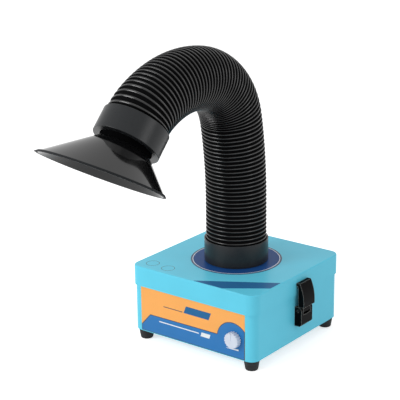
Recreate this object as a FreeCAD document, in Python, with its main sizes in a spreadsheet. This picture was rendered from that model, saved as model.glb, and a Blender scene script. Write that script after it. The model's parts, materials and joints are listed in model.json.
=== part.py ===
import FreeCAD, Part
import math
import os
from types import SimpleNamespace

import Sketcher
from FreeCAD import Placement, Rotation, Vector

# Bench fume extractor: a square filter box, a ribbed hose on its lid and a conical hood.
# Millimetres. Z is up, z = 0 is the surface under the feet, the hose's riser is on the Z axis,
# the front with the speed knob looks to -Y and the latches are on the +X and -X sides.

DIMENSIONS = (
    # Box
    ("case_width", 203.0),
    ("case_depth", 202.0),
    ("case_corner", 12.0),
    ("case_wall", 2.5),
    ("case_floor", 3.0),
    ("box_height", 93.6),
    ("lid_overhang", 2.0),
    ("lid_gap", 0.5),
    ("lid_skirt", 28.0),
    ("lid_top", 3.0),
    ("lid_edge", 1.8),
    ("seal_height", 2.0),
    ("overrun", 5.0),
    ("hole_clearance", 0.2),
    ("seat_gap", 0.3),
    ("running_fit", 0.05),
    # Feet
    ("foot_height", 15.0),
    ("foot_top_radius", 11.0),
    ("foot_bottom_radius", 8.8),
    ("foot_edge", 2.2),
    ("foot_inset", 12.5),
    ("foot_recess", 6.0),
    # Screws
    ("screw_radius", 1.5),
    ("screw_head_radius", 2.9),
    ("screw_head_height", 1.8),
    ("thread_depth", 2.0),
    # Printed labels
    ("label_thickness", 0.3),
    ("front_label_inset", 14.5),
    ("front_label_height", 63.5),
    ("front_label_lift", 1.2),
    ("ring_label_radius", 62.5),
    ("corner_label_back", 97.5),
    ("corner_label_front", 51.5),
    ("corner_label_rise_back", 59.5),
    ("corner_label_rise_front", 36.6),
    # Inlet spigot, hose and cuffs
    ("spigot_radius", 34.0),
    ("spigot_wall", 2.0),
    ("spigot_height", 20.0),
    ("spigot_flange_radius", 52.0),
    ("spigot_flange", 3.0),
    ("cuff_radius", 43.8),
    ("cuff_length", 31.5),
    ("cuff_wall", 2.0),
    ("cuff_end_wall", 3.0),
    ("sleeve_wall", 2.0),
    ("sleeve_length", 24.0),
    ("hose_crest_radius", 41.5),
    ("hose_root_radius", 38.6),
    ("hose_bore_radius", 37.2),
    ("rib_pitch", 5.8),
    ("riser_height", 84.8),
    ("lean_radius", 616.0),
    ("lean_turn", 10.8),
    ("crown_radius", 84.6),
    ("crown_turn", 67.9),
    ("fall_radius", 155.0),
    ("fall_turn", 41.0),
    ("tuck_radius", 80.0),
    ("tuck_turn", 16.6),
    # Hood
    ("hood_neck_insert", 20.0),
    ("hood_neck_length", 8.0),
    ("hood_shoulder_radius", 38.0),
    ("hood_wall", 2.8),
    ("hood_half_angle", 45.0),
    ("hood_axis_length", 47.3),
    ("hood_mouth_tilt", 14.7),
    ("hood_rest_turn", -13.4),
    ("hood_lip", 1.2),
    ("hood_lip_height", 3.0),
    # Speed knob and potentiometer
    ("knob_inset", 31.3),
    ("knob_height", 27.2),
    ("knob_radius", 11.0),
    ("knob_depth", 7.5),
    ("knob_recess_radius", 7.2),
    ("knob_recess", 3.4),
    ("knob_bore", 6.3),
    ("knob_edge", 0.8),
    ("flute_radius", 1.1),
    ("pointer_width", 1.2),
    ("pointer_depth", 0.5),
    ("pot_radius", 8.0),
    ("pot_depth", 9.0),
    ("pot_bush_radius", 4.2),
    ("pot_bush_length", 5.6),
    ("pot_nut_radius", 6.2),
    ("pot_nut_height", 2.0),
    ("pot_shaft_radius", 3.0),
    # Power inlet
    ("jack_inset", 31.5),
    ("jack_height", 26.0),
    ("jack_flange_radius", 7.0),
    ("jack_flange", 2.0),
    ("jack_barrel_radius", 5.5),
    ("jack_barrel_length", 14.0),
    ("jack_bore_radius", 2.9),
    ("jack_bore_depth", 10.0),
    ("jack_pin_radius", 1.0),
    ("jack_nut_radius", 8.0),
    ("jack_nut_height", 2.5),
    # Exhaust slots in the rear wall
    ("slot_width", 4.0),
    ("slot_height", 30.0),
    ("slot_pitch", 9.0),
    ("slot_lift", 22.0),
    ("slot_row_x", -18.0),
    # Side latches
    ("latch_width", 26.4),
    ("latch_y", 6.0),
    ("latch_lift", 21.5),
    ("latch_height", 61.5),
    ("latch_base_depth", 11.0),
    ("latch_base_height", 27.5),
    ("latch_pin_radius", 1.5),
    ("latch_slot_width", 16.6),
    ("latch_tongue_width", 16.0),
    ("latch_tongue_radius", 5.2),
    ("latch_slot_drop", 5.6),
    ("latch_top_depth", 8.0),
    ("latch_ledge_depth", 14.5),
    ("latch_arm_gap", 0.6),
    ("latch_lip", 4.0),
    ("latch_face_radius", 62.0),
    ("keeper_depth", 3.0),
    ("keeper_height", 5.0),
    ("keeper_width", 20.0),
    ("latch_screw_spread", 10.0),
    # Filter stack
    ("filter_margin", 11.5),
    ("filter_height", 33.0),
    ("filter_wall", 2.0),
    ("filter_lip", 6.0),
    ("filter_gap", 0.3),
    ("pad_clearance", 0.3),
    ("prefilter_height", 6.0),
    ("carbon_height", 8.0),
    ("pleat_height", 16.0),
    ("pleat_paper", 1.6),
    # Fan and its deck
    ("deck_thickness", 2.5),
    ("deck_margin", 1.5),
    ("deck_hole_radius", 36.0),
    ("post_inset", 28.0),
    ("post_radius", 4.5),
    ("motor_base_radius", 32.0),
    ("motor_base", 3.0),
    ("motor_radius", 23.0),
    ("motor_height", 17.0),
    ("motor_screw_offset", 19.5),
    ("shaft_radius", 3.0),
    ("bearing_radius", 8.0),
    ("bearing_width", 5.0),
    ("bearing_lift", 1.5),
    ("impeller_radius", 62.0),
    ("impeller_eye_radius", 33.0),
    ("impeller_plate", 2.0),
    ("impeller_gap", 1.5),
    ("blade_height", 21.0),
    ("blade_inner_radius", 30.0),
    ("blade_curve", 46.0),
    ("blade_thickness", 1.6),
    ("hub_radius", 8.0),
    ("hub_height", 8.0),
    # Speed control board
    ("board_length", 60.0),
    ("board_width", 38.0),
    ("board_thickness", 1.6),
    ("board_inset_side", 70.0),
    ("board_inset_front", 35.0),
    ("board_post_height", 5.0),
    ("board_post_radius", 2.6),
    ("board_post_inset", 4.0),
    ("capacitor_radius", 4.0),
    ("capacitor_height", 10.0),
    ("heatsink_length", 20.0),
    ("heatsink_width", 10.0),
    ("terminal_length", 16.0),
    ("terminal_width", 8.0),
    ("terminal_height", 9.0),
)

FLUTE_COUNT = 18
SLOT_COUNT = 13
BLADE_COUNT = 11
PLEAT_COUNT = 22
BORE_STEP_ANGLE = 10
RIB_RISE_SHARE = 0.22
RIB_CREST_SHARE = 0.46
RIB_FALL_SHARE = 0.68
BLADE_TIP_ALONG_SHARE = 0.80
BLADE_TIP_ACROSS_SHARE = 0.56
HEATSINK_X_SHARE = 0.25
TERMINAL_X_SHARE = -0.30
CAPACITOR_X_SHARES = (-0.05, 0.10)
QUARTER_TURN = 90
HALF_TURN = 180
FULL_TURN = 360

doc = FreeCAD.newDocument("FumeExtractor")
sheet = doc.addObject("Spreadsheet::Sheet", "Dims")


class Size:
    """A value of the sheet, or a sum of them, with the expression that gives it."""

    def __init__(self, value, text):
        self.value = value
        self.text = text

    def __add__(self, other):
        return Size(self.value + number(other), f"({self.text} + {text(other)})")

    def __radd__(self, other):
        return Size(number(other) + self.value, f"({text(other)} + {self.text})")

    def __sub__(self, other):
        return Size(self.value - number(other), f"({self.text} - {text(other)})")

    def __rsub__(self, other):
        return Size(number(other) - self.value, f"({text(other)} - {self.text})")

    def __mul__(self, factor):
        return Size(self.value * number(factor), f"({self.text} * {text(factor)})")

    __rmul__ = __mul__

    def __truediv__(self, factor):
        return Size(self.value / number(factor), f"({self.text} / {text(factor)})")

    def __neg__(self):
        return Size(-self.value, f"(-{self.text})")


def number(size):
    return size.value if isinstance(size, Size) else size


def text(size):
    return size.text if isinstance(size, Size) else repr(size)


def read_sheet():
    sizes = {}
    for row, (alias, value) in enumerate(DIMENSIONS, start=1):
        sheet.set(f"A{row}", alias)
        sheet.set(f"B{row}", str(value))
        sheet.setAlias(f"B{row}", alias)
    doc.recompute()
    for alias, _ in DIMENSIONS:
        sizes[alias] = Size(float(sheet.get(alias)), f"Dims.{alias}")
    return SimpleNamespace(**sizes)


d = read_sheet()
nodes = []

ROTATIONS = {
    "Z": (Vector(0, 0, 1), 0),
    "-Z": (Vector(1, 0, 0), HALF_TURN),
    "X": (Vector(0, 1, 0), QUARTER_TURN),
    "Y": (Vector(1, 0, 0), -QUARTER_TURN),
    "-Y": (Vector(1, 0, 0), QUARTER_TURN),
}


def bind(thing, **sizes):
    for prop, size in sizes.items():
        thing.setExpression(prop, text(size))
    return thing


def place(thing, at=(0, 0, 0), along="Z", turn=None):
    """Puts an object's own origin at a point, with its own Z axis along a direction."""
    axis, angle = turn if turn else ROTATIONS[along]
    thing.Placement = Placement(Vector(0, 0, 0), Rotation(axis, number(angle)))
    if isinstance(angle, Size):
        thing.setExpression("Placement.Rotation.Angle", angle.text)
    for letter, size in zip("xyz", at):
        if isinstance(size, Size):
            thing.setExpression(f"Placement.Base.{letter}", size.text)
    return thing


def box(length, width, height, at=(0, 0, 0)):
    """A block whose footprint is centred on a point."""
    thing = bind(doc.addObject("Part::Box", "Block"), Length=length, Width=width, Height=height)
    return place(thing, (at[0] - length / 2, at[1] - width / 2, at[2]))


def cylinder(radius, height, at=(0, 0, 0), along="Z"):
    thing = bind(doc.addObject("Part::Cylinder", "Round"), Radius=radius, Height=height)
    return place(thing, at, along)


def hexagon(radius, height, at=(0, 0, 0), along="Z"):
    thing = bind(doc.addObject("Part::Prism", "Hexagon"), Circumradius=radius, Height=height)
    return place(thing, at, along)


def cut(base, *tools):
    """A block with one or more others taken out of it."""
    thing = doc.addObject("Part::Cut", "Cut")
    thing.Base = base
    thing.Tool = tools[0] if len(tools) == 1 else group(*tools)
    return thing


def group(*shapes):
    """Several blocks as one object: touching ones merge, separate ones stay separate solids."""
    thing = doc.addObject("Part::MultiFuse", "Group")
    thing.Shapes = list(shapes)
    return thing


def moved(thing, at=(0, 0, 0), turn=None):
    """A block that keeps its own place inside a carrier, which is put somewhere as a whole."""
    carrier = doc.addObject("Part::Compound", "Moved")
    carrier.Links = [thing]
    return place(carrier, at, turn=turn)


def node(thing, name):
    thing.Label = name
    nodes.append(thing)
    return thing


def origin_plane(body, role):
    return next(plane for plane in body.Origin.OriginFeatures if plane.Role == role)


def arc_between(start, end, radius, side):
    """The short arc from start to end, turning left for side 1 and right for side -1."""
    chord = end - start
    rise = math.sqrt(max(radius ** 2 - (chord.Length / 2) ** 2, 0))
    across = Vector(-chord.y, chord.x, 0).normalize()
    centre = (start + end) / 2 + across * rise * side
    first, last = (start, end) if side > 0 else (end, start)
    circle = Part.Circle(centre, Vector(0, 0, 1), radius)
    return Part.ArcOfCircle(circle, circle.parameter(first), circle.parameter(last))


def sketch_outline(body, role, corners):
    """A closed sketch through corners (x, y) or (x, y, radius, side): the arc goes to the next."""
    sketch = body.newObject("Sketcher::SketchObject", "Outline")
    sketch.AttachmentSupport = [(origin_plane(body, role), "")]
    sketch.MapMode = "FlatFace"
    points = [Vector(number(corner[0]), number(corner[1]), 0) for corner in corners]
    ends = []
    for index, corner in enumerate(corners):
        start, end = points[index], points[(index + 1) % len(points)]
        if len(corner) == 2:
            edge = sketch.addGeometry(Part.LineSegment(start, end))
            ends.append((edge, 1, 2))
        else:
            edge = sketch.addGeometry(arc_between(start, end, number(corner[2]), corner[3]))
            ends.append((edge, 1, 2) if corner[3] > 0 else (edge, 2, 1))
    for index, (edge, _, last) in enumerate(ends):
        following, first, _ = ends[(index + 1) % len(ends)]
        sketch.addConstraint(Sketcher.Constraint("Coincident", edge, last, following, first))
    for corner, point, (edge, first, _) in zip(corners, points, ends):
        for kind, size, value in (("DistanceX", corner[0], point.x), ("DistanceY", corner[1], point.y)):
            place_number = sketch.addConstraint(Sketcher.Constraint(kind, -1, 1, edge, first, value))
            if isinstance(size, Size):
                sketch.setExpression(f"Constraints[{place_number}]", size.text)
        if len(corner) > 2:
            limit = sketch.addConstraint(Sketcher.Constraint("Radius", edge, number(corner[2])))
            sketch.setExpression(f"Constraints[{limit}]", text(corner[2]))
    sketch.Visibility = False
    return sketch


def pad_outline(body, role, corners, length, midplane=False):
    pad = body.newObject("PartDesign::Pad", "Pad")
    pad.Profile = sketch_outline(body, role, corners)
    pad.SideType = "Symmetric" if midplane else "One side"
    return bind(pad, Length=length)


def prism(role, corners, length, at=(0, 0, 0), midplane=False):
    """A body with one outline pushed up from an origin plane."""
    body = doc.addObject("PartDesign::Body", "Prism")
    pad_outline(body, role, corners, length, midplane)
    return place(body, at)


def turned(corners, at=(0, 0, 0)):
    """A body turned about its own Z axis from an outline of (radius, height) corners."""
    body = doc.addObject("PartDesign::Body", "Turned")
    sketch = sketch_outline(body, "XZ_Plane", corners)
    turning = body.newObject("PartDesign::Revolution", "Revolution")
    turning.Profile = sketch
    turning.ReferenceAxis = (sketch, ["V_Axis"])
    turning.Angle = FULL_TURN
    return place(body, at)


def rounded_corners(width, depth, radius):
    half, deep = width / 2, depth / 2
    return (
        (radius - half, -deep), (half - radius, -deep, radius, 1),
        (half, radius - deep), (half, deep - radius, radius, 1),
        (half - radius, deep), (radius - half, deep, radius, 1),
        (-half, deep - radius), (-half, radius - deep, radius, 1),
    )


def rounded_prism(width, depth, radius, height, at=(0, 0, 0)):
    return prism("XY_Plane", rounded_corners(width, depth, radius), height, at)


def four_corners(x, y):
    return ((-x, -y), (x, -y), (x, y), (-x, y))


def pan_screw(at, along, length):
    """A round-headed screw: the head lies behind the point, the shank runs along the direction."""
    shank = cylinder(d.screw_radius, d.screw_head_height + length)
    head = cylinder(d.screw_head_radius, d.screw_head_height)
    screw = group(shank, head)
    return place(screw, at, along)


# Heights of the box, from the feet up
floor_z = d.foot_height + d.case_floor
lid_top_z = d.foot_height + d.box_height
lid_under_z = lid_top_z - d.lid_top
rim_z = lid_under_z - d.seal_height
skirt_z = lid_top_z - d.lid_skirt
front_y = -d.case_depth / 2
rear_y = d.case_depth / 2
knob_z = d.foot_height + d.knob_height
jack_z = d.foot_height + d.jack_height
lid_width = d.case_width + d.lid_overhang * 2
lid_depth = d.case_depth + d.lid_overhang * 2
latch_z = d.foot_height + d.latch_lift
latch_pivot_x = d.case_width / 2 + d.latch_base_depth / 2
latch_pivot_z = latch_z + d.latch_base_height - d.latch_base_depth / 2
deck_top_z = lid_under_z - d.spigot_flange - d.filter_gap - d.filter_height
deck_z = deck_top_z - d.deck_thickness
motor_top_z = floor_z + d.motor_base + d.motor_height
impeller_z = motor_top_z + d.impeller_gap
inside_width = d.case_width - d.case_wall * 2
inside_depth = d.case_depth - d.case_wall * 2
foot_x = d.case_width / 2 - d.foot_inset
foot_y = d.case_depth / 2 - d.foot_inset
knob_x = d.case_width / 2 - d.knob_inset
jack_x = d.case_width / 2 - d.jack_inset
board_x = d.board_inset_side - d.case_width / 2
board_y = d.board_inset_front - d.case_depth / 2
latch_seat = (0, d.latch_y, 0)
latch_screw_z = latch_z + d.latch_base_depth / 2
knob_y = front_y - d.label_thickness - d.seat_gap
spigot_screw_offset = (d.spigot_radius + d.spigot_flange_radius) / 2 / math.sqrt(2)
cuff_z = lid_top_z + d.label_thickness + d.seat_gap
hose_start_z = cuff_z + d.cuff_end_wall + d.seat_gap
hose_insert = d.cuff_length - d.cuff_end_wall - d.seat_gap
hose_turn = d.lean_turn + d.crown_turn + d.fall_turn + d.tuck_turn


# Lower case: an open tray with exhaust slots at the rear
def build_lower_case():
    shell = rounded_prism(d.case_width, d.case_depth, d.case_corner, rim_z - d.foot_height,
                          (0, 0, d.foot_height))
    hollow = rounded_prism(inside_width, inside_depth, d.case_corner - d.case_wall,
                           rim_z - floor_z + d.overrun, (0, 0, floor_z))
    through_wall = d.case_wall + d.overrun * 2
    holes = [
        cylinder(d.pot_bush_radius + d.hole_clearance, through_wall,
                 (knob_x, front_y - d.overrun, knob_z), "Y"),
        cylinder(d.jack_barrel_radius + d.hole_clearance, through_wall,
                 (jack_x, rear_y - d.case_wall - d.overrun, jack_z), "Y"),
    ]
    for index in range(SLOT_COUNT):
        slot_x = d.slot_row_x + d.slot_pitch * (index - (SLOT_COUNT - 1) / 2)
        holes.append(box(d.slot_width, through_wall, d.slot_height,
                         (slot_x, rear_y, d.foot_height + d.slot_lift)))
    for x, y in four_corners(foot_x, foot_y):
        holes.append(cylinder(d.screw_radius + d.hole_clearance, d.case_floor + d.overrun * 2,
                              (x, y, d.foot_height - d.overrun)))
    for x, y in four_corners(d.motor_screw_offset, d.motor_screw_offset):
        holes.append(cylinder(d.screw_radius, d.thread_depth + d.overrun, (x, y, floor_z - d.thread_depth)))
    for y in (d.latch_y - d.latch_screw_spread / 2, d.latch_y + d.latch_screw_spread / 2):
        holes.append(cylinder(d.screw_radius + d.hole_clearance, d.case_width + d.overrun * 2,
                              (-d.case_width / 2 - d.overrun, y, latch_screw_z), "X"))
    node(cut(shell, hollow, *holes), "lower_case")


# Lid: a shallow cap whose skirt hangs over the case, with the hose inlet in its middle
def build_lid():
    outer = doc.addObject("PartDesign::Body", "LidOuter")
    outline = rounded_corners(lid_width, lid_depth, d.case_corner + d.lid_overhang)
    pad = pad_outline(outer, "XY_Plane", outline, d.lid_skirt)
    doc.recompute()
    heights = [face.CenterOfMass.z for face in pad.Shape.Faces]
    edge = outer.newObject("PartDesign::Fillet", "LidEdge")
    edge.Base = (pad, [f"Face{heights.index(max(heights)) + 1}"])
    bind(edge, Radius=d.lid_edge)
    place(outer, (0, 0, skirt_z))
    hollow = rounded_prism(d.case_width + d.lid_gap * 2, d.case_depth + d.lid_gap * 2,
                           d.case_corner + d.lid_gap, lid_under_z - skirt_z + d.overrun,
                           (0, 0, skirt_z - d.overrun))
    inlet = cylinder(d.spigot_radius + d.hole_clearance, d.lid_top + d.overrun * 2,
                     (0, 0, lid_under_z - d.overrun))
    pilots = []
    for x, y in four_corners(spigot_screw_offset, spigot_screw_offset):
        pilots.append(cylinder(d.screw_radius, d.thread_depth + d.overrun, (x, y, lid_under_z - d.overrun)))
    node(cut(outer, hollow, inlet, *pilots), "lid")


# Foam seal between the case's rim and the lid
def build_lid_seal():
    ring = rounded_prism(d.case_width, d.case_depth, d.case_corner, d.seal_height, (0, 0, rim_z))
    middle = rounded_prism(inside_width, inside_depth, d.case_corner - d.case_wall,
                           d.seal_height + d.overrun * 2, (0, 0, rim_z - d.overrun))
    node(cut(ring, middle), "lid_seal")


# Feet: tapered rubber with a recess for the screw's head
def build_feet():
    names = ("foot_front_left", "foot_front_right", "foot_rear_right", "foot_rear_left")
    for name, (x, y) in zip(names, four_corners(foot_x, foot_y)):
        foot = turned((
            (d.screw_head_radius + d.hole_clearance, 0),
            (d.foot_bottom_radius - d.foot_edge, 0, d.foot_edge, 1),
            (d.foot_bottom_radius, d.foot_edge),
            (d.foot_top_radius, d.foot_height),
            (d.screw_radius + d.hole_clearance, d.foot_height),
            (d.screw_radius + d.hole_clearance, d.foot_recess),
            (d.screw_head_radius + d.hole_clearance, d.foot_recess),
        ), (x, y, 0))
        node(foot, name)
    length = d.foot_height - d.foot_recess + d.case_floor + d.thread_depth
    screws = [pan_screw((x, y, d.foot_recess - d.screw_head_height), "Z", length)
              for x, y in four_corners(foot_x, foot_y)]
    node(group(*screws), "foot_screws")
    nuts = []
    for x, y in four_corners(foot_x, foot_y):
        nut = hexagon(d.screw_head_radius, d.thread_depth, (x, y, floor_z))
        bore = cylinder(d.screw_radius + d.running_fit, d.case_floor + d.overrun, (x, y, d.foot_height))
        nuts.append(cut(nut, bore))
    node(group(*nuts), "foot_nuts")


# Printed labels: thin sheets on the front, round the inlet and across the lid's front corner
def build_labels():
    label_z = d.foot_height + d.front_label_lift
    sheet_body = box(d.case_width - d.front_label_inset * 2, d.label_thickness, d.front_label_height,
                     (0, front_y - d.label_thickness / 2, label_z))
    hole = cylinder(d.pot_bush_radius + d.hole_clearance, d.label_thickness + d.overrun * 2,
                    (knob_x, front_y - d.overrun, knob_z), "Y")
    node(cut(sheet_body, hole), "front_label")
    ring = cylinder(d.ring_label_radius, d.label_thickness, (0, 0, lid_top_z))
    middle = cylinder(d.spigot_radius + d.hole_clearance, d.label_thickness + d.overrun * 2,
                      (0, 0, lid_top_z - d.overrun))
    node(cut(ring, middle), "inlet_label")
    right = lid_width / 2 - d.lid_edge
    front = d.lid_edge - lid_depth / 2
    band = prism("XY_Plane", (
        (right - d.corner_label_back, front),
        (right - d.corner_label_front, front),
        (right, front + d.corner_label_rise_front),
        (right, front + d.corner_label_rise_back),
    ), d.label_thickness, (0, 0, lid_top_z))
    node(band, "corner_label")


# Inlet spigot: a flanged tube through the lid that the hose's lower cuff turns on
def build_spigot():
    bore = d.spigot_radius - d.spigot_wall
    low = lid_under_z - d.spigot_flange
    tube = turned((
        (bore, low), (d.spigot_flange_radius, low), (d.spigot_flange_radius, lid_under_z),
        (d.spigot_radius, lid_under_z), (d.spigot_radius, lid_top_z + d.spigot_height),
        (bore, lid_top_z + d.spigot_height),
    ))
    countersinks = []
    screws = []
    for x, y in four_corners(spigot_screw_offset, spigot_screw_offset):
        countersinks.append(cylinder(d.screw_radius + d.hole_clearance, d.spigot_flange + d.overrun * 2,
                                     (x, y, low - d.overrun)))
        countersinks.append(cylinder(d.screw_head_radius + d.hole_clearance,
                                     d.screw_head_height + d.overrun, (x, y, low - d.overrun)))
        screws.append(pan_screw((x, y, low), "Z", lid_under_z - low - d.screw_head_height + d.thread_depth))
    node(cut(tube, *countersinks), "inlet_spigot")
    node(group(*screws), "spigot_screws")


# Hose cuffs: a skirt round the hose's end and a sleeve inside it, joined by a flat end wall
def cuff_profile():
    sleeve_in = d.spigot_radius + d.seat_gap
    sleeve_out = sleeve_in + d.sleeve_wall
    skirt_in = d.cuff_radius - d.cuff_wall
    edge = d.cuff_wall / 2
    return (
        (sleeve_in, 0), (d.cuff_radius - edge, 0, edge, 1), (d.cuff_radius, edge),
        (d.cuff_radius, d.cuff_length - edge, edge, 1), (d.cuff_radius - edge, d.cuff_length),
        (skirt_in, d.cuff_length), (skirt_in, d.cuff_end_wall), (sleeve_out, d.cuff_end_wall),
        (sleeve_out, d.sleeve_length), (sleeve_in, d.sleeve_length),
    )


def hose_path():
    """The hose's centre line: (length, turn radius, turn) runs, from the lower cuff to the upper."""
    riser = number(lid_top_z + d.riser_height - hose_start_z)
    runs = [(riser, 0, 0)]
    for radius, turn in ((d.lean_radius, d.lean_turn), (d.crown_radius, d.crown_turn),
                         (d.fall_radius, d.fall_turn), (d.tuck_radius, d.tuck_turn)):
        angle = math.radians(turn.value)
        runs.append((radius.value * angle, radius.value, angle))
    runs.append((hose_insert.value, 0, 0))
    return runs


def point_on_path(runs, distance):
    """Place and heading on the centre line, which stays in the YZ plane and turns to -Y."""
    y, z, heading = 0.0, hose_start_z.value, 0.0
    left = distance
    for index, (length, radius, angle) in enumerate(runs, start=1):
        step = left if index == len(runs) else min(left, length)
        if radius:
            turned_by = angle * step / length
            y += radius * (math.cos(heading + turned_by) - math.cos(heading))
            z += radius * (math.sin(heading + turned_by) - math.sin(heading))
            heading += turned_by
        else:
            y -= step * math.sin(heading)
            z += step * math.cos(heading)
        left -= step
        if left <= 0:
            break
    return Vector(0, y, z), heading


def ring_on_path(runs, distance, radius):
    """A circle square to the centre line, whose own X axis stays along X."""
    ring = Part.Wire([Part.makeCircle(radius)])
    point, heading = point_on_path(runs, distance)
    ring.Placement = Placement(point, Rotation(Vector(1, 0, 0), math.degrees(heading)))
    return ring


def build_hose():
    runs = hose_path()
    length = sum(run[0] for run in runs)
    first = hose_insert.value
    visible = length - first * 2
    count = round(visible / d.rib_pitch.value)
    pitch = visible / count
    outer = [ring_on_path(runs, 0, d.hose_root_radius.value)]
    for rib in range(count):
        start = first + rib * pitch
        for share, radius in ((0, d.hose_root_radius), (RIB_RISE_SHARE, d.hose_crest_radius),
                              (RIB_CREST_SHARE, d.hose_crest_radius), (RIB_FALL_SHARE, d.hose_root_radius)):
            outer.append(ring_on_path(runs, start + share * pitch, radius.value))
    outer.append(ring_on_path(runs, length, d.hose_root_radius.value))
    bore_steps = [0, runs[0][0]]
    for run in runs[1:]:
        bore_steps.append(bore_steps[-1] + run[0])
    inner = []
    for begin, run in zip(bore_steps, runs):
        pieces = max(1, math.ceil(math.degrees(run[2]) / BORE_STEP_ANGLE))
        inner += [ring_on_path(runs, begin + run[0] * piece / pieces, d.hose_bore_radius.value)
                  for piece in range(pieces)]
    inner.append(ring_on_path(runs, length + d.overrun.value, d.hose_bore_radius.value))
    inner[0] = ring_on_path(runs, -d.overrun.value, d.hose_bore_radius.value)
    solid = Part.makeLoft(outer, True, True).cut(Part.makeLoft(inner, True, True))
    hose = doc.addObject("Part::Feature", "Hose")
    hose.Shape = solid
    node(hose, "hose")


def upper_cuff_end():
    runs = hose_path()
    length = sum(run[0] for run in runs)
    return point_on_path(runs, length + d.seat_gap.value + d.cuff_end_wall.value)[0]


def build_cuffs():
    node(turned(cuff_profile(), (0, 0, cuff_z)), "hose_cuff_base")
    upper = turned(cuff_profile())
    upper.Placement = Placement(hood_seat, Rotation(Vector(1, 0, 0), hose_turn.value + HALF_TURN))
    node(upper, "hose_cuff_end")


# Hood: a thin cone on a neck that plugs into the upper cuff, cut off by a tilted plane
def build_hood():
    slope = math.tan(math.radians(d.hood_half_angle.value))
    neck_in = d.spigot_radius - d.spigot_wall
    reach = d.hood_axis_length * 2
    cone_length = reach - d.hood_neck_length
    end_radius = d.hood_shoulder_radius + cone_length * slope
    shell = turned((
        (neck_in, -d.hood_neck_insert), (d.spigot_radius, -d.hood_neck_insert),
        (d.spigot_radius, d.hood_neck_length), (d.hood_shoulder_radius, d.hood_neck_length),
        (end_radius, reach), (end_radius - d.hood_wall, reach),
        (d.hood_shoulder_radius + d.hood_wall * (slope - 1), d.hood_neck_length + d.hood_wall),
        (neck_in, d.hood_neck_length + d.hood_wall),
    ))
    band = turned((
        (d.hood_shoulder_radius, d.hood_neck_length),
        (d.hood_shoulder_radius + d.hood_lip, d.hood_neck_length),
        (end_radius + d.hood_lip, reach), (end_radius - d.hood_lip, reach),
        (d.hood_shoulder_radius - d.hood_lip, d.hood_neck_length),
    ))
    tilt = (Vector(1, 0, 0), d.hood_mouth_tilt)
    spread = end_radius * 4
    mouth = (0, 0, d.hood_axis_length)
    beyond_mouth = moved(box(spread, spread, spread), mouth, tilt)
    before_lip = moved(box(spread, spread, spread, (0, 0, -spread - d.hood_lip_height)), mouth, tilt)
    trimmed = cut(group(shell, cut(band, before_lip)), beyond_mouth)
    heading = Rotation(Vector(1, 0, 0), hose_turn.value)
    swivel = Rotation(Vector(0, 0, 1), d.hood_rest_turn.value)
    trimmed.Placement = Placement(hood_seat, heading * swivel)
    node(trimmed, "hood")


# Speed knob: a fluted cap with a pointer, on the shaft of a potentiometer behind the front wall
def build_knob():
    body = doc.addObject("PartDesign::Body", "KnobBody")
    half = d.knob_radius
    pad = body.newObject("PartDesign::Pad", "KnobPad")
    circle = body.newObject("Sketcher::SketchObject", "KnobOutline")
    circle.AttachmentSupport = [(origin_plane(body, "XY_Plane"), "")]
    circle.MapMode = "FlatFace"
    rim = circle.addGeometry(Part.Circle(Vector(0, 0, 0), Vector(0, 0, 1), half.value))
    circle.addConstraint(Sketcher.Constraint("Coincident", rim, 3, -1, 1))
    limit = circle.addConstraint(Sketcher.Constraint("Radius", rim, half.value))
    circle.setExpression(f"Constraints[{limit}]", half.text)
    pad.Profile = circle
    bind(pad, Length=d.knob_depth)
    doc.recompute()
    heights = [face.CenterOfMass.z for face in pad.Shape.Faces]
    edge = body.newObject("PartDesign::Fillet", "KnobEdge")
    edge.Base = (pad, [f"Face{heights.index(max(heights)) + 1}"])
    bind(edge, Radius=d.knob_edge)
    flute = body.newObject("PartDesign::Pocket", "Flute")
    mark = body.newObject("Sketcher::SketchObject", "FluteOutline")
    mark.AttachmentSupport = [(origin_plane(body, "XY_Plane"), "")]
    mark.MapMode = "FlatFace"
    groove = mark.addGeometry(Part.Circle(Vector(half.value, 0, 0), Vector(0, 0, 1), d.flute_radius.value))
    mark.addConstraint(Sketcher.Constraint("PointOnObject", groove, 3, -1))
    reach = mark.addConstraint(Sketcher.Constraint("DistanceX", -1, 1, groove, 3, half.value))
    mark.setExpression(f"Constraints[{reach}]", half.text)
    width = mark.addConstraint(Sketcher.Constraint("Radius", groove, d.flute_radius.value))
    mark.setExpression(f"Constraints[{width}]", d.flute_radius.text)
    flute.Profile = mark
    flute.Type = "ThroughAll"
    flute.Reversed = True
    doc.recompute()
    flutes = body.newObject("PartDesign::PolarPattern", "Flutes")
    flutes.Originals = [flute]
    flutes.Axis = (mark, ["N_Axis"])
    flutes.Occurrences = FLUTE_COUNT
    body.Tip = flutes
    recess = cylinder(d.knob_recess_radius, d.knob_recess + d.overrun, (0, 0, -d.overrun))
    bore = cylinder(d.pot_shaft_radius + d.running_fit, d.knob_bore + d.overrun, (0, 0, -d.overrun))
    pointer = box(d.pointer_width, d.knob_radius, d.pointer_depth + d.overrun,
                  (0, d.knob_radius / 2, d.knob_depth - d.pointer_depth))
    node(place(cut(body, recess, bore, pointer), (knob_x, knob_y, knob_z), "-Y"), "speed_knob")


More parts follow.
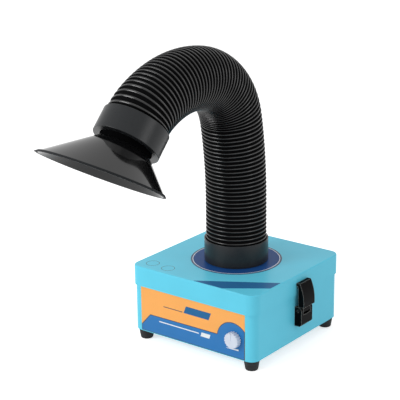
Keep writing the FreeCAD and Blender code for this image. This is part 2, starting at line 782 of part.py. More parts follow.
def build_potentiometer():
    inner_y = front_y + d.case_wall
    can = cylinder(d.pot_radius, d.pot_depth, (knob_x, inner_y, knob_z), "Y")
    bush = cylinder(d.pot_bush_radius, d.pot_bush_length,
                    (knob_x, inner_y - d.pot_bush_length, knob_z), "Y")
    shaft_end = inner_y + d.pot_depth / 2
    bore = cylinder(d.pot_shaft_radius + d.running_fit, d.pot_bush_length + d.pot_depth / 2 + d.overrun,
                    (knob_x, inner_y - d.pot_bush_length - d.overrun, knob_z), "Y")
    node(cut(group(can, bush), bore), "speed_pot")
    nut_y = front_y - d.label_thickness - d.pot_nut_height
    nut = hexagon(d.pot_nut_radius, d.pot_nut_height, (knob_x, nut_y, knob_z), "Y")
    nut_bore = cylinder(d.pot_bush_radius + d.running_fit, d.pot_nut_height + d.overrun * 2,
                        (knob_x, nut_y - d.overrun, knob_z), "Y")
    node(cut(nut, nut_bore), "pot_nut")
    tip = knob_y - d.knob_bore
    shaft = cylinder(d.pot_shaft_radius, shaft_end - tip - d.seat_gap, (knob_x, tip, knob_z), "Y")
    node(shaft, "pot_shaft")


# Power inlet: a barrel jack through the rear wall, held by a nut inside
def build_jack():
    flange = cylinder(d.jack_flange_radius, d.jack_flange, (jack_x, rear_y, jack_z), "Y")
    barrel_y = rear_y - d.jack_barrel_length
    barrel = cylinder(d.jack_barrel_radius, d.jack_barrel_length, (jack_x, barrel_y, jack_z), "Y")
    bore_y = rear_y + d.jack_flange - d.jack_bore_depth
    bore = cylinder(d.jack_bore_radius, d.jack_bore_depth + d.overrun, (jack_x, bore_y, jack_z), "Y")
    pin = cylinder(d.jack_pin_radius, d.jack_bore_depth - d.jack_flange, (jack_x, bore_y, jack_z), "Y")
    node(group(cut(group(flange, barrel), bore), pin), "power_jack")
    nut_y = rear_y - d.case_wall - d.jack_nut_height
    nut = hexagon(d.jack_nut_radius, d.jack_nut_height, (jack_x, nut_y, jack_z), "Y")
    nut_bore = cylinder(d.jack_barrel_radius + d.running_fit, d.jack_nut_height + d.overrun * 2,
                        (jack_x, nut_y - d.overrun, jack_z), "Y")
    node(cut(nut, nut_bore), "jack_nut")


# Side latch: a base on the case, an arm that swings out on a pin and hooks over a keeper on the lid
def latch_turn(side):
    return (Vector(0, 0, 1), 0 if side > 0 else HALF_TURN)


def build_latch(side, name):
    lid_face = d.case_width / 2 + d.lid_overhang
    knuckle = d.latch_base_depth / 2
    back = d.case_width / 2
    front = back + d.latch_base_depth
    base = prism("XZ_Plane", (
        (back, latch_z), (front - knuckle / 2, latch_z), (front, latch_z + knuckle / 2),
        (front, latch_pivot_z, knuckle, 1), (latch_pivot_x, latch_pivot_z + knuckle),
        (back, latch_pivot_z + knuckle),
    ), d.latch_width, midplane=True)
    slot_z = latch_pivot_z - d.latch_slot_drop
    slot = box(d.latch_base_depth * 2, d.latch_slot_width, d.latch_base_height,
               (back + d.latch_base_depth, 0, slot_z))
    pin_hole = cylinder(d.latch_pin_radius + d.running_fit, d.latch_width + d.overrun * 2,
                        (latch_pivot_x, -d.latch_width / 2 - d.overrun, latch_pivot_z), "Y")
    pilots = [cylinder(d.screw_radius, d.latch_base_depth / 2 + d.overrun,
                       (back - d.overrun, y, latch_screw_z), "X")
              for y in (-d.latch_screw_spread / 2, d.latch_screw_spread / 2)]
    block = cut(base, slot, pin_hole, *pilots)
    node(place(block, latch_seat, turn=latch_turn(side)), f"latch_base_{name}")

    pin = cylinder(d.latch_pin_radius, d.latch_width,
                   (latch_pivot_x, -d.latch_width / 2, latch_pivot_z), "Y")
    node(moved(pin, latch_seat, latch_turn(side)), f"latch_pin_{name}")

    keeper_top = latch_z + d.latch_height - d.latch_lip - d.seat_gap
    keeper = prism("XZ_Plane", (
        (lid_face, keeper_top - d.keeper_height), (lid_face + d.keeper_depth, keeper_top - d.keeper_depth),
        (lid_face + d.keeper_depth, keeper_top), (lid_face, keeper_top),
    ), d.keeper_width, midplane=True)
    node(place(keeper, latch_seat, turn=latch_turn(side)), f"latch_keeper_{name}")

    arm_low = latch_pivot_z + knuckle + d.latch_arm_gap
    arm_top = latch_z + d.latch_height
    inner = lid_face + d.keeper_depth + d.latch_arm_gap
    plate = prism("XZ_Plane", (
        (inner, arm_low), (back + d.latch_ledge_depth, arm_low),
        (back + d.latch_ledge_depth, arm_low + d.latch_lip, d.latch_face_radius, 1),
        (back + d.latch_top_depth, arm_top),
        (lid_face + d.latch_arm_gap, arm_top), (lid_face + d.latch_arm_gap, arm_top - d.latch_lip),
        (inner, arm_top - d.latch_lip),
    ), d.latch_width, midplane=True)
    tongue = group(
        cylinder(d.latch_tongue_radius, d.latch_tongue_width,
                 (latch_pivot_x, -d.latch_tongue_width / 2, latch_pivot_z), "Y"),
        box(d.latch_tongue_radius, d.latch_tongue_width, arm_low + d.latch_lip - latch_pivot_z,
            (latch_pivot_x + d.latch_tongue_radius / 2, 0, latch_pivot_z)),
    )
    arm = cut(group(plate, tongue), cylinder(
        d.latch_pin_radius + d.running_fit, d.latch_width + d.overrun * 2,
        (latch_pivot_x, -d.latch_width / 2 - d.overrun, latch_pivot_z), "Y"))
    node(place(arm, latch_seat, turn=latch_turn(side)), f"latch_arm_{name}")


def build_latch_screws():
    screws = []
    for side in (1, -1):
        for y in (-d.latch_screw_spread / 2, d.latch_screw_spread / 2):
            head_x = d.case_width / 2 - d.case_wall - d.screw_head_height
            screw = pan_screw((head_x, y, latch_screw_z), "X", d.case_wall + d.latch_base_depth / 3)
            screws.append(moved(screw, latch_seat, latch_turn(side)))
    node(group(*screws), "latch_screws")


# Filter: a frame that holds a foam pad, a pleated pack and a carbon pad over the fan's deck
def build_filter():
    width = inside_width - d.filter_margin * 2
    depth = inside_depth - d.filter_margin * 2
    well_width = width - d.filter_wall * 2
    well_depth = depth - d.filter_wall * 2
    frame = box(width, depth, d.filter_height, (0, 0, deck_top_z))
    well = box(well_width, well_depth, d.filter_height, (0, 0, deck_top_z + d.filter_wall))
    eye = box(well_width - d.filter_lip * 2, well_depth - d.filter_lip * 2, d.filter_height,
              (0, 0, deck_top_z - d.filter_wall))
    node(cut(frame, well, eye), "filter_frame")
    pad_width = well_width - d.pad_clearance * 2
    pad_depth = well_depth - d.pad_clearance * 2
    carbon_z = deck_top_z + d.filter_wall
    node(box(pad_width, pad_depth, d.carbon_height, (0, 0, carbon_z)), "carbon_pad")
    pleat_z = carbon_z + d.carbon_height
    step = pad_width / PLEAT_COUNT
    crest = pleat_z + d.pleat_height
    lower = []
    for index in range(PLEAT_COUNT):
        left = step * index - pad_width / 2
        lower += [(left, pleat_z), (left + step / 2, crest - d.pleat_paper * 2)]
    lower.append((pad_width / 2, pleat_z))
    upper = [(pad_width / 2, pleat_z + d.pleat_paper * 2)]
    for index in reversed(range(PLEAT_COUNT)):
        left = step * index - pad_width / 2
        upper += [(left + step / 2, crest), (left, pleat_z + d.pleat_paper * 2)]
    node(prism("XZ_Plane", tuple(lower + upper), pad_depth, midplane=True), "pleated_filter")
    node(box(pad_width, pad_depth, d.prefilter_height, (0, 0, crest)), "prefilter_pad")


# Fan deck on four posts
def build_deck():
    plate = rounded_prism(inside_width - d.deck_margin * 2, inside_depth - d.deck_margin * 2,
                          d.case_corner - d.case_wall, d.deck_thickness, (0, 0, deck_z))
    holes = [cylinder(d.deck_hole_radius, d.deck_thickness + d.overrun * 2, (0, 0, deck_z - d.overrun))]
    posts = []
    screws = []
    for x, y in four_corners(d.case_width / 2 - d.post_inset, d.case_depth / 2 - d.post_inset):
        holes.append(cylinder(d.screw_radius + d.hole_clearance, d.deck_thickness + d.overrun * 2,
                              (x, y, deck_z - d.overrun)))
        holes.append(cylinder(d.screw_head_radius + d.hole_clearance, d.screw_head_height + d.overrun,
                              (x, y, deck_top_z - d.screw_head_height)))
        post = cylinder(d.post_radius, deck_z - floor_z, (x, y, floor_z))
        pilot = cylinder(d.screw_radius, d.post_radius + d.overrun, (x, y, deck_z - d.post_radius))
        posts.append(cut(post, pilot))
        screws.append(pan_screw((x, y, deck_top_z), "-Z", d.thread_depth * 2))
    node(cut(plate, *holes), "fan_deck")
    node(group(*posts), "deck_posts")
    node(group(*screws), "deck_screws")


# Fan: a motor on the floor, two bearings, a shaft and a backward-curved impeller
def build_motor():
    plate = cylinder(d.motor_base_radius, d.motor_base, (0, 0, floor_z))
    can = cylinder(d.motor_radius, d.motor_base + d.motor_height, (0, 0, floor_z))
    bore_z = floor_z + d.bearing_lift
    bore = cylinder(d.bearing_radius + d.running_fit, d.motor_base + d.motor_height, (0, 0, bore_z))
    holes = [bore]
    screws = []
    for x, y in four_corners(d.motor_screw_offset, d.motor_screw_offset):
        holes.append(cylinder(d.screw_radius + d.hole_clearance, d.motor_base + d.overrun * 2,
                              (x, y, floor_z - d.overrun)))
        screws.append(pan_screw((x, y, floor_z + d.motor_base + d.screw_head_height), "-Z",
                                d.motor_base + d.thread_depth))
    node(cut(group(plate, can), *holes), "fan_motor")
    node(group(*screws), "motor_screws")
    rings = []
    for z in (bore_z, motor_top_z - d.bearing_width):
        ring = cylinder(d.bearing_radius, d.bearing_width, (0, 0, z))
        hole = cylinder(d.shaft_radius + d.running_fit, d.bearing_width + d.overrun * 2,
                        (0, 0, z - d.overrun))
        rings.append(cut(ring, hole))
    node(group(*rings), "motor_bearings")
    shaft_z = bore_z + d.seat_gap
    node(cylinder(d.shaft_radius, impeller_z + d.hub_height - shaft_z, (0, 0, shaft_z)), "motor_shaft")


def build_impeller():
    body = doc.addObject("PartDesign::Body", "ImpellerBlades")
    tip_x = d.impeller_radius * BLADE_TIP_ALONG_SHARE
    tip_y = d.impeller_radius * BLADE_TIP_ACROSS_SHARE
    blade = pad_outline(body, "XY_Plane", (
        (d.blade_inner_radius, 0, d.blade_curve, -1), (tip_x, tip_y),
        (tip_x - d.blade_thickness, tip_y + d.blade_thickness / 2, d.blade_curve + d.blade_thickness, 1),
        (d.blade_inner_radius - d.blade_thickness, d.blade_thickness / 2),
    ), d.blade_height + d.impeller_plate)
    doc.recompute()
    blades = body.newObject("PartDesign::PolarPattern", "Blades")
    blades.Originals = [blade]
    blades.Axis = (blade.Profile[0], ["N_Axis"])
    blades.Occurrences = BLADE_COUNT
    body.Tip = blades
    place(body, (0, 0, impeller_z + d.impeller_plate / 2))
    back_plate = cylinder(d.impeller_radius, d.impeller_plate, (0, 0, impeller_z))
    hub = cylinder(d.hub_radius, d.hub_height, (0, 0, impeller_z))
    shroud_z = impeller_z + d.impeller_plate + d.blade_height
    shroud = cut(cylinder(d.impeller_radius, d.impeller_plate, (0, 0, shroud_z)),
                 cylinder(d.impeller_eye_radius, d.impeller_plate + d.overrun * 2,
                          (0, 0, shroud_z - d.overrun)))
    bore = cylinder(d.shaft_radius + d.running_fit, d.hub_height + d.overrun * 2,
                    (0, 0, impeller_z - d.overrun))
    node(cut(group(body, back_plate, hub, shroud), bore), "impeller")


# Speed control board on four posts
def build_board():
    board_z = floor_z + d.board_post_height
    top_z = board_z + d.board_thickness
    posts = []
    for x in (d.board_post_inset - d.board_length / 2, d.board_length / 2 - d.board_post_inset):
        for y in (d.board_post_inset - d.board_width / 2, d.board_width / 2 - d.board_post_inset):
            posts.append(cylinder(d.board_post_radius, d.board_post_height,
                                  (board_x + x, board_y + y, floor_z)))
    node(group(*posts), "board_posts")
    node(box(d.board_length, d.board_width, d.board_thickness, (board_x, board_y, board_z)),
         "speed_board")
    sink = box(d.heatsink_length, d.heatsink_width, d.capacitor_height,
               (board_x + d.board_length * HEATSINK_X_SHARE, board_y, top_z))
    terminal = box(d.terminal_length, d.terminal_width, d.terminal_height,
                   (board_x + d.board_length * TERMINAL_X_SHARE, board_y, top_z))
    pieces = [sink, terminal]
    for share in CAPACITOR_X_SHARES:
        pieces.append(cylinder(d.capacitor_radius, d.capacitor_height,
                               (board_x + d.board_length * share, board_y + d.board_width / 4, top_z)))
    node(group(*pieces), "board_parts")


hood_seat = upper_cuff_end()

build_lower_case()
build_lid()
build_lid_seal()
build_feet()
build_labels()
build_spigot()
build_hose()
build_cuffs()
build_hood()
build_knob()
build_potentiometer()
build_jack()
build_latch(1, "right")
build_latch(-1, "left")
build_latch_screws()
build_filter()
build_deck()
build_motor()
build_impeller()
build_board()
doc.recompute()

# Nothing is written unless every object is sound
for thing in doc.Objects:
    if "Invalid" in thing.State or "Error" in thing.State:
        raise RuntimeError(f"{thing.Name} ({thing.Label}) failed: {thing.State}")
for thing in nodes:
    if thing.Shape.isNull() or not thing.Shape.isValid():
        raise RuntimeError(f"{thing.Label} has no sound shape")

os.makedirs("parts", exist_ok=True)
for thing in nodes:
    thing.Shape.exportStep(f"parts/{thing.Label}.step")
    print(f"{thing.Label}: {len(thing.Shape.Solids)} solids, {thing.Shape.Volume:.0f} mm3")
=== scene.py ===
import json
import math

import bmesh
import bpy
from mathutils import Matrix, Vector
from mathutils.geometry import tessellate_polygon


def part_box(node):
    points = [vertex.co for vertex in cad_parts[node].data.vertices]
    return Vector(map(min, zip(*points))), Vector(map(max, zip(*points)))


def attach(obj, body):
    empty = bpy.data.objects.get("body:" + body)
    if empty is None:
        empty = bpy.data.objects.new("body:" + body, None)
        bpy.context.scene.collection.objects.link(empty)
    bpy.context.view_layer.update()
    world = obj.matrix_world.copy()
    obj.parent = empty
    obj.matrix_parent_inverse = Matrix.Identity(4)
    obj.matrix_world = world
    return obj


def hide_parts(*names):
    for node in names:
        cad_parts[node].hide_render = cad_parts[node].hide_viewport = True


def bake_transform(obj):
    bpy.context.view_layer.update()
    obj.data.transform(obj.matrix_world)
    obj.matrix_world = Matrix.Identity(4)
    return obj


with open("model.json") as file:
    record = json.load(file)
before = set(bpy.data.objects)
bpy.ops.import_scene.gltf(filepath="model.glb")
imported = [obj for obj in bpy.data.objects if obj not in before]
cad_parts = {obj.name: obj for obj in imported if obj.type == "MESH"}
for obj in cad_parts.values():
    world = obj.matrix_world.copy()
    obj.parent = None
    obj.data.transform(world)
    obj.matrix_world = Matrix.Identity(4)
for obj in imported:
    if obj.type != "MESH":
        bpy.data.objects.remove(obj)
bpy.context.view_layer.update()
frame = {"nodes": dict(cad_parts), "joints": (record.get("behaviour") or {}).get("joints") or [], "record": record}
nodes = frame["nodes"]
joints = {joint["name"]: joint for joint in frame["joints"]}
slots = {row["node"]: row["material_slot"] for row in frame["record"]["subparts"]}

MM = 0.001
X_AXIS = Vector((1, 0, 0))

# Camera, fitted to the edges of the box in the photograph
CAMERA_EYE = Vector((1.0312, -1.4100, 0.7625))
CAMERA_AZIMUTH = math.radians(37.785)
CAMERA_ELEVATION = math.radians(18.055)
CAMERA_ROLL = math.radians(-0.717)
CAMERA_LENS = 122.06
CAMERA_SENSOR = 36.0
CAMERA_REACH = 100.0

# Lamps: name, place and size in metres, and power in watts. All look at the middle of the object.
LAMP_TARGET = (0.0, -0.05, 0.18)
LAMPS = (
    ("key", (-0.75, -1.55, 0.95), (0.9, 0.9), 18.5),
    ("side", (1.7, 0.1, 0.9), (0.5, 1.2), 5),
    ("top", (-0.2, 0.3, 1.7), (1.0, 1.0), 2.2),
)

# World and floor: the world's strength as light on the object, and the floor's half width in metres
WORLD_LIGHT = 0.62
WHITE_LIGHT = (1.0, 1.0, 1.0, 1.0)
FLOOR_HALF = 14.0
FLOOR_GREY = (0.8, 0.8, 0.8, 1.0)
FLOOR_GLOW = 0.62

# Hose: the same straight riser and tangent arcs as the solid, in millimetres and degrees
HOSE_SEAT = 3.3
HOSE_RISER = 84.8
HOSE_ARCS = ((616.0, 10.8), (84.6, 67.9), (155.0, 41.0), (80.0, 16.6))
HOSE_INSERT = 28.2
HOSE_CREST, HOSE_ROOT, HOSE_BORE = 41.5, 38.6, 37.2
HOSE_SIDES = 72
HOSE_SMOOTH = math.radians(70)
BORE_RINGS = 60

# Ribs: where the crest lies in one pitch, how round it is, and how deep its shine goes before the grooves get
# painted shade
RIB_PITCH = 5.8
RIB_MIDDLE, RIB_HALF = 0.34, 0.34
RIB_ROUNDNESS = 0.8
RIB_STEPS = 12
SHINE_DEPTH = 0.38

# Cuffs, in millimetres from the flat end wall
CUFF_RADIUS, CUFF_LENGTH, CUFF_WALL = 43.8, 31.5, 2.0
CUFF_END_WALL, SLEEVE_IN, SLEEVE_OUT, SLEEVE_LENGTH = 3.0, 34.3, 36.3, 24.0
CUFF_SIDES = 128
CUFF_ROUNDING, CUFF_ROUNDING_STEPS = 0.7, 3

# Hood, in millimetres along its own axis from its seat in the upper cuff
NECK_IN, NECK_OUT, NECK_INSERT, NECK_LENGTH = 32.0, 34.0, 20.0, 8.0
SHOULDER_RADIUS, HOOD_WALL, HOOD_LIP, HOOD_LIP_HEIGHT = 38.0, 2.8, 1.2, 3.0
HOOD_SLOPE = math.tan(math.radians(45.0))
MOUTH_DISTANCE = 47.3
MOUTH_TILT = math.tan(math.radians(14.7))
HOOD_TURN = math.radians(-13.4)
HOOD_SIDES = 160
HOOD_SMOOTH = math.radians(25)
HOOD_ROUNDING, HOOD_ROUNDING_STEPS = 0.25, 2

# Rows of faces round the hood, counted along its outline. The neck and the rim get duller copies of its black as
# painted shade, and the inside a lighter black with more shine as painted light.
NECK_ROWS, RIM_ROWS, INSIDE_ROWS = (1, 2), (4, 5, 6), (7, 8)

# Layers of print, in millimetres above the label or lid
LAYER = 0.06
FIRST_LAYER, SECOND_LAYER, THIRD_LAYER = LAYER, LAYER * 2, LAYER * 3

# Prints on the front label, in millimetres from the middle of the front and from the floor
BANNER_LEFT_TOP, BANNER_SHOULDER_X, BANNER_SHOULDER_Z = 25.0, -71.5, 42.2
BANNER_RIGHT_Z = 43.0
BANNER_LINE = 0.9
BUMP_X, BUMP_Z, BUMP_RADIUS, BUMP_STEPS = 67.6, 39.3, 25.6, 40
PLATE_LEFT, PLATE_RIGHT, PLATE_LOW, PLATE_HIGH, PLATE_SLANT = -13.6, 28.4, 58.4, 68.8, 4.2
RULE_LEFT, RULE_RIGHT, RULE_Z, RULE_WIDTH = -48.0, -15.4, 58.6, 1.1
STRIPE_LEFT, STRIPE_RIGHT, STRIPE_Z, STRIPE_WIDTH = -56.0, 12.0, 34.8, 1.5
TAG_LEFT, TAG_RIGHT, TAG_LOW, TAG_HIGH, TAG_SLANT = 14.8, 29.4, 32.2, 38.0, 1.8

# Hole in the print and wedge at the knob, in millimetres from its axis
DIAL_HOLE, DIAL_SIDES = 7.0, 48
WEDGE_LEFT, WEDGE_RIGHT, WEDGE_DROP, WEDGE_THIN, WEDGE_THICK = -13.0, 7.0, 15.4, 0.4, 2.4

# Prints on the lid, in millimetres from the hose's axis
BORDER_IN, BORDER_OUT = 60.9, 62.4
LINE_IN, LINE_OUT = 59.2, 60.2
INLET_SIDES = 160
MARKS = ((-81.0, -82.0), (-52.0, -85.0))
MARK_RADIUS, MARK_LINE, MARK_SIDES = 9.3, 0.6, 64

# Faces that meet at less than the first angle are shaded as one, where a piece has no angle of its own.
# Edges sharper than the second angle are rounded on a softened piece.
PIECE_SMOOTH = math.radians(35)
ROUNDING_ANGLE = math.radians(30)

# Noise in the surfaces: the stretch of it that is used, its detail, and the depth of the grain in metres
NOISE_LOW, NOISE_HIGH = 0.3, 0.7
TINT_DETAIL, GRAIN_DETAIL = 3.0, 2.0
GLOSS_FINER = 3
GRAIN_DEPTH = 0.05 * MM

# Painted highlights along the edges of the latches: their radius, and how alike two normals are where they start
# and end
EDGE_RADIUS = 1.0 * MM
EDGE_FLAT, EDGE_TURNED = 0.99, 0.86

# Screen values to linear ones
SCREEN_FULL = 255
SCREEN_KNEE, SCREEN_SLOPE = 0.04045, 12.92
SCREEN_OFFSET, SCREEN_POWER = 0.055, 2.4


def linear(value):
    share = value / SCREEN_FULL
    if share <= SCREEN_KNEE:
        return share / SCREEN_SLOPE
    return ((share + SCREEN_OFFSET) / (1 + SCREEN_OFFSET)) ** SCREEN_POWER


def colour(red, green, blue):
    """A colour written as eight-bit screen values, as the linear values that shaders use."""
    return (linear(red), linear(green), linear(blue), 1.0)


CYAN = colour(98, 204, 230)
ORANGE = colour(244, 170, 88)
LABEL_BLUE = colour(34, 114, 179)
RING_BLUE = colour(24, 70, 130)
BAND_BLUE = colour(42, 102, 150)
INK = colour(40, 52, 74)
DEEP_BLACK = colour(9, 9, 10)
BLACK = colour(20, 21, 22)
SOFT_BLACK = colour(34, 36, 38)
WHITE = colour(226, 232, 235)
KNOB_WHITE = colour(206, 214, 228)
FOAM_GREY = colour(58, 59, 61)
PAPER = colour(228, 226, 216)
FRAME_GREY = colour(146, 150, 153)
BOARD_GREEN = colour(30, 104, 66)
STEEL = colour(186, 187, 188)
PIN_BLACK = colour(30, 30, 32)
MOTOR_METAL = colour(190, 192, 194)
# The colour of the painted highlight along the latches' edges
EDGE_HIGHLIGHT_GREY = colour(150, 150, 146)

# Surfaces: colour, its unevenness and noise scale, least and most roughness,
# scale and strength of the grain, and shine
SURFACES = {
    "case_cyan": (CYAN, 0.03, 14, 0.30, 0.36, 1400, 0.05, 0.15),
    "black_plastic": (SOFT_BLACK, 0.06, 300, 0.27, 0.32, 1600, 0.05, 0.25),
    "hood_black": (DEEP_BLACK, 0.06, 300, 0.04, 0.07, 700, 0.02, 0.29),
    # Copies of the hood's black: duller on the rim and the neck as painted shade, lighter with more shine on the
    # inside as painted light
    "hood_rim_painted_shade": (SOFT_BLACK, 0.06, 300, 0.50, 0.60, 700, 0.03, 0.03),
    "hood_inside_painted_light": (BLACK, 0.06, 300, 0.16, 0.20, 700, 0.03, 0.38),
    "neck_painted_shade": (DEEP_BLACK, 0.15, 200, 0.80, 0.90, 1500, 0.05, 0.0),
    "hose_plastic": (DEEP_BLACK, 0.15, 200, 0.20, 0.26, 1500, 0.05, 0.62),
    # The hose's grooves: the same black with almost no shine, painted shade in its recesses
    "hose_groove_painted_shade": (DEEP_BLACK, 0.15, 200, 0.70, 0.80, 1500, 0.05, 0.03),
    "foot_rubber": (SOFT_BLACK, 0.18, 250, 0.62, 0.78, 2200, 0.25, 0.3),
    "knob_white": (KNOB_WHITE, 0.03, 90, 0.28, 0.36, 1800, 0.05, 0.5),
    "latch_plastic": (DEEP_BLACK, 0.12, 200, 0.30, 0.36, 2600, 0.04, 0.03),
    "label_orange": (ORANGE, 0.02, 25, 0.34, 0.40, 900, 0.03, 0.3),
    "label_blue": (LABEL_BLUE, 0.03, 25, 0.34, 0.40, 900, 0.03, 0.3),
    "ring_blue": (RING_BLUE, 0.04, 25, 0.34, 0.40, 900, 0.03, 0.08),
    "band_blue": (BAND_BLUE, 0.04, 25, 0.34, 0.40, 900, 0.03, 0.08),
    "print_dark": (INK, 0.04, 60, 0.34, 0.42, 900, 0.03, 0.5),
    "print_white": (WHITE, 0.02, 60, 0.34, 0.42, 900, 0.03, 0.5),
    "foam": (FOAM_GREY, 0.35, 700, 0.85, 0.95, 900, 1.0, 0.5),
    "filter_paper": (PAPER, 0.05, 500, 0.80, 0.92, 1500, 0.5, 0.5),
    "frame_grey": (FRAME_GREY, 0.05, 60, 0.42, 0.52, 1500, 0.10, 0.5),
    "board_green": (BOARD_GREEN, 0.15, 220, 0.30, 0.42, 600, 0.10, 0.5),
    "steel": (STEEL, 0.06, 300, 0.24, 0.36, 900, 0.08, 0.5),
    "pin_black": (PIN_BLACK, 0.06, 300, 0.40, 0.50, 900, 0.05, 0.5),
    "motor_metal": (MOTOR_METAL, 0.05, 200, 0.36, 0.48, 1200, 0.15, 0.5),
}
METALS = ("steel", "pin_black", "motor_metal")
STRETCHED = {"steel": (1, 1, 8)}
# Surfaces that get a painted highlight along their sharp edges
EDGE_HIGHLIGHTED = ("latch_plastic",)

# Solids whose surface isn't the one that their material slot names
OWN_SURFACE = {
    "front_label": "label_orange",
    "inlet_label": "ring_blue",
    "corner_label": "band_blue",
    "hood": "hood_black",
    "latch_pin_left": "pin_black",
    "latch_pin_right": "pin_black",
}

# Boxes of the solids, in metres
label_low, label_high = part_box("front_label")
ring_low, ring_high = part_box("inlet_label")
lid_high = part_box("lid")[1]

# Places worked out from the boxes and joints, in millimetres
front_face = label_low.y / MM
label_left, label_right, label_foot = label_low.x / MM, label_high.x / MM, label_low.z / MM
top_face = lid_high.z / MM
label_lift = (ring_high.z - ring_low.z) / MM
knob = Vector(joints["knob_turn"]["pos_m"]) / MM
hose_start = joints["hose_swivel"]["pos_m"][2] / MM + HOSE_SEAT
hose_runs = [(top_face + HOSE_RISER - hose_start, 0, 0)]
hose_runs += [(radius * math.radians(turn), radius, math.radians(turn)) for radius, turn in HOSE_ARCS]
hose_runs.append((HOSE_INSERT, 0, 0))


class Surface:
    """A procedural material: a base colour with its unevenness, roughness and grain."""

    def __init__(self, name, stretch):
        self.material = bpy.data.materials.new(name)
        self.material.use_nodes = True
        self.tree = self.material.node_tree
        self.shader = self.tree.nodes["Principled BSDF"]
        self.where = self.new("ShaderNodeTexCoord").outputs["Object"]
        self.stretch = stretch

    def new(self, kind, **values):
        """A node with some of its inputs set. An underscore in a name stands for a space."""
        node = self.tree.nodes.new(kind)
        for name, value in values.items():
            node.inputs[name.replace("_", " ")].default_value = value
        return node

    def set(self, name, value):
        self.shader.inputs[name].default_value = value

    def link(self, source, target):
        self.tree.links.new(source, target)

    def noise(self, scale, detail):
        texture = self.new("ShaderNodeTexNoise", Scale=scale, Detail=detail)
        source = self.where
        if self.stretch:
            mapping = self.new("ShaderNodeMapping", Scale=self.stretch)
            self.link(self.where, mapping.inputs["Vector"])
            source = mapping.outputs["Vector"]
        self.link(source, texture.inputs["Vector"])
        return texture.outputs["Fac"]

    def tint(self, base, spread, scale):
        """Link and return a colour that varies by a share of itself, darker and lighter."""
        ramp = self.new("ShaderNodeValToRGB")
        dark, light = ramp.color_ramp.elements
        dark.position, light.position = NOISE_LOW, NOISE_HIGH
        dark.color = tuple(channel * (1 - spread) for channel in base[:3]) + (1.0,)
        light.color = tuple(min(1.0, channel * (1 + spread)) for channel in base[:3]) + (1.0,)
        self.link(self.noise(scale, TINT_DETAIL), ramp.inputs["Fac"])
        self.link(ramp.outputs["Color"], self.shader.inputs["Base Color"])
        return ramp.outputs["Color"]

    def gloss(self, low, high, scale):
        limits = self.new("ShaderNodeMapRange", From_Min=NOISE_LOW, From_Max=NOISE_HIGH,
                          To_Min=low, To_Max=high)
        self.link(self.noise(scale, TINT_DETAIL), limits.inputs["Value"])
        self.link(limits.outputs["Result"], self.shader.inputs["Roughness"])

    def grain(self, scale, strength):
        bump = self.new("ShaderNodeBump", Strength=strength, Distance=GRAIN_DEPTH)
        self.link(self.noise(scale, GRAIN_DETAIL), bump.inputs["Height"])
        self.link(bump.outputs["Normal"], self.shader.inputs["Normal"])

    def highlight_edge_share(self):
        """0 on flat faces, up to 1 along sharp edges, where a rounded normal leaves the flat one: where the
        painted highlight goes.
        """
        rounded = self.new("ShaderNodeBevel", Radius=EDGE_RADIUS)
        flat = self.new("ShaderNodeNewGeometry")
        likeness = self.new("ShaderNodeVectorMath")
        likeness.operation = "DOT_PRODUCT"
        self.link(rounded.outputs["Normal"], likeness.inputs[0])
        self.link(flat.outputs["Normal"], likeness.inputs[1])
        share = self.new("ShaderNodeMapRange", From_Min=EDGE_FLAT, From_Max=EDGE_TURNED)
        self.link(likeness.outputs["Value"], share.inputs["Value"])
        return share.outputs["Result"]

    def paint_edge_highlights(self, plain):
        """Paint a highlight along sharp edges: a lighter colour where a moulded black edge would catch the light.
        """
        blend = self.new("ShaderNodeMixRGB", Color2=EDGE_HIGHLIGHT_GREY)
        self.link(self.highlight_edge_share(), blend.inputs["Fac"])
        self.link(plain, blend.inputs["Color1"])
        self.link(blend.outputs["Color"], self.shader.inputs["Base Color"])


def make_surface(name):
    base, spread, scale, low, high, grain_scale, grain_strength, shine = SURFACES[name]
    surface = Surface(name, STRETCHED.get(name))
    plain = surface.tint(base, spread, scale)
    surface.gloss(low, high, scale * GLOSS_FINER)
    surface.grain(grain_scale, grain_strength)
    surface.set("Specular IOR Level", shine)
    if name in METALS:
        surface.set("Metallic", 1.0)
    # A painted highlight: a lighter colour along sharp edges
    if name in EDGE_HIGHLIGHTED:
        surface.paint_edge_highlights(plain)
    return surface.material


paints = {name: make_surface(name) for name in SURFACES}


def paint(thing, name):
    thing.data.materials.clear()
    thing.data.materials.append(paints[name])


def paint_solids():
    for name, thing in nodes.items():
        paint(thing, OWN_SURFACE.get(name, slots[name]))


# Mesh helpers
def make_mesh(name, vertices, faces, smooth_under):
    """A mesh from points in millimetres, smooth where its faces meet at less than an angle."""
    mesh = bpy.data.meshes.new(name)
    mesh.from_pydata([Vector(point) * MM for point in vertices], [], faces)
    mesh.validate()
    work = bmesh.new()
    work.from_mesh(mesh)
    bmesh.ops.recalc_face_normals(work, faces=work.faces)
    work.to_mesh(mesh)
    work.free()
    mesh.shade_smooth()
    mesh.set_sharp_from_angle(angle=smooth_under)
    return mesh


def new_piece(name, vertices, faces, paint_name, body=None, smooth_under=PIECE_SMOOTH):
    piece = bpy.data.objects.new(name, make_mesh(name, vertices, faces, smooth_under))
    bpy.context.scene.collection.objects.link(piece)
    paint(piece, paint_name)
    if body:
        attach(piece, body)
    return piece


def turns(count):
    """Angles at equal steps round a full turn."""
    return [math.tau * step / count for step in range(count)]


def tube_faces(rings, sides):
    """Quads from each ring of points to the next, and from the last ring back to the first."""
    faces = []
    for ring in range(rings):
        following = (ring + 1) % rings
        for side in range(sides):
            beside = (side + 1) % sides
            faces.append((ring * sides + side, ring * sides + beside,
                          following * sides + beside, following * sides + side))
    return faces


def paint_rows(piece, sides, rows, paint_name):
    """Give some rows of a tube's faces another surface."""
    piece.data.materials.append(paints[paint_name])
    last = len(piece.data.materials) - 1
    for face in piece.data.polygons:
        if face.index // sides in rows:
            face.material_index = last


